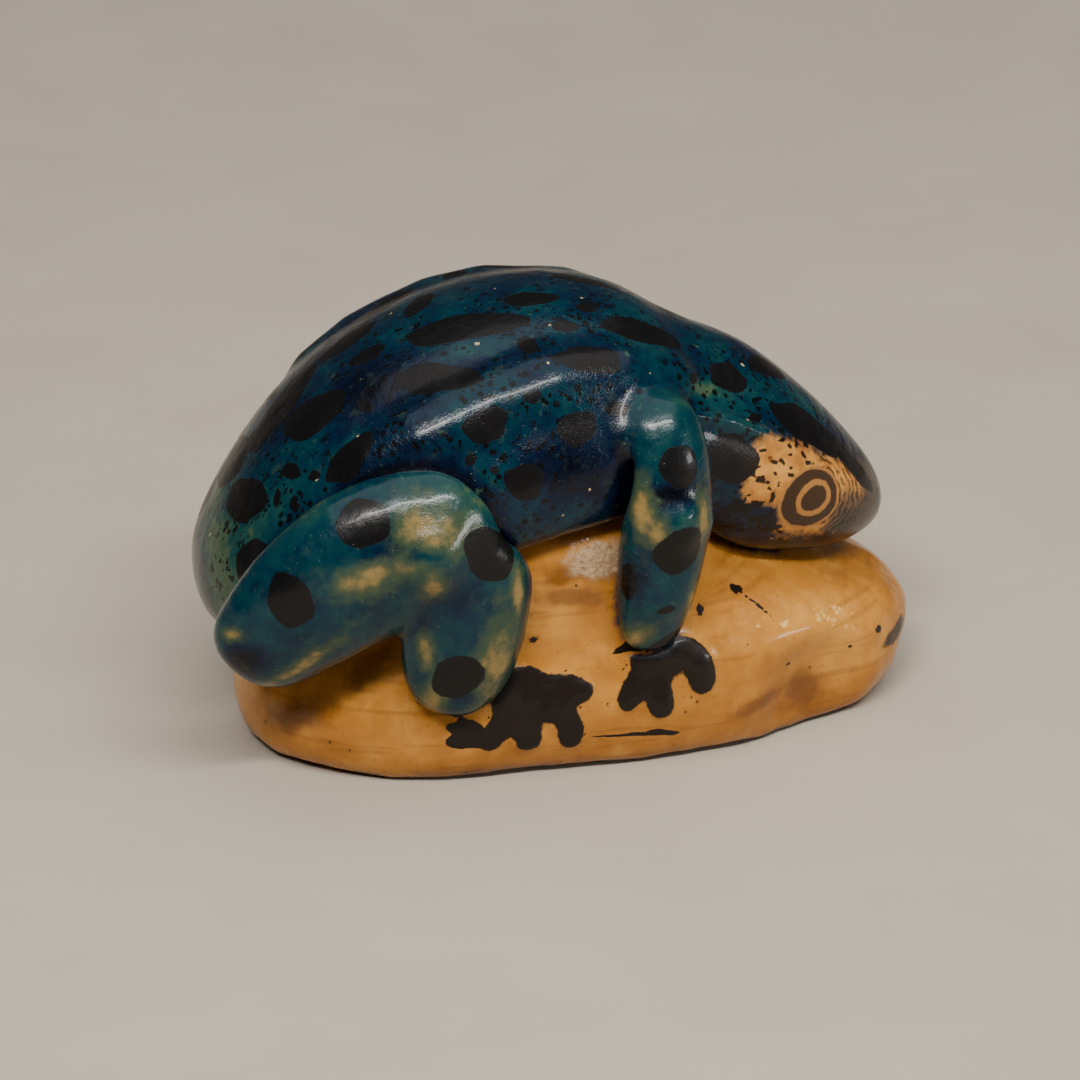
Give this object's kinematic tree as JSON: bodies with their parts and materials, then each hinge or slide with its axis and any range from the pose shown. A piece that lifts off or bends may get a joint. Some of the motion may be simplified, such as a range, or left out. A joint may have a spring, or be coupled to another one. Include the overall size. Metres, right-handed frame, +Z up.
{
  "type": "frog figurine",
  "caption": "Small carved frog figurine crouching on a rock, in polished vegetable ivory: teal body with black spots, ringed eyes, black toes, bare amber rock with a flat underside.",
  "frame": {"origin": "centre of the flat underside's bounding box, at table level", "axes": "+X toward the frog's snout, +Y toward the frog's left side, +Z up"},
  "size_m": [0.0517, 0.0312, 0.0313],
  "materials": {
    "bare_nut": "undyed vegetable ivory, amber, waxed and polished to a soft gloss",
    "dyed_nut": "vegetable ivory dyed teal to navy, black spots drawn on, waxed and polished to a gloss",
    "black_ink": "vegetable ivory under black ink, semi-matte"
  },
  "bodies": {
    "root": {"rock_base": "bare_nut", "torso": "dyed_nut", "head": "dyed_nut", "right_hind_leg": "dyed_nut", "right_foreleg": "dyed_nut", "right_hind_foot": "black_ink", "right_forefoot": "black_ink", "left_hind_leg": "dyed_nut", "left_foreleg": "dyed_nut", "left_hind_foot": "black_ink", "left_forefoot": "black_ink"}
  },
  "joints": []
}
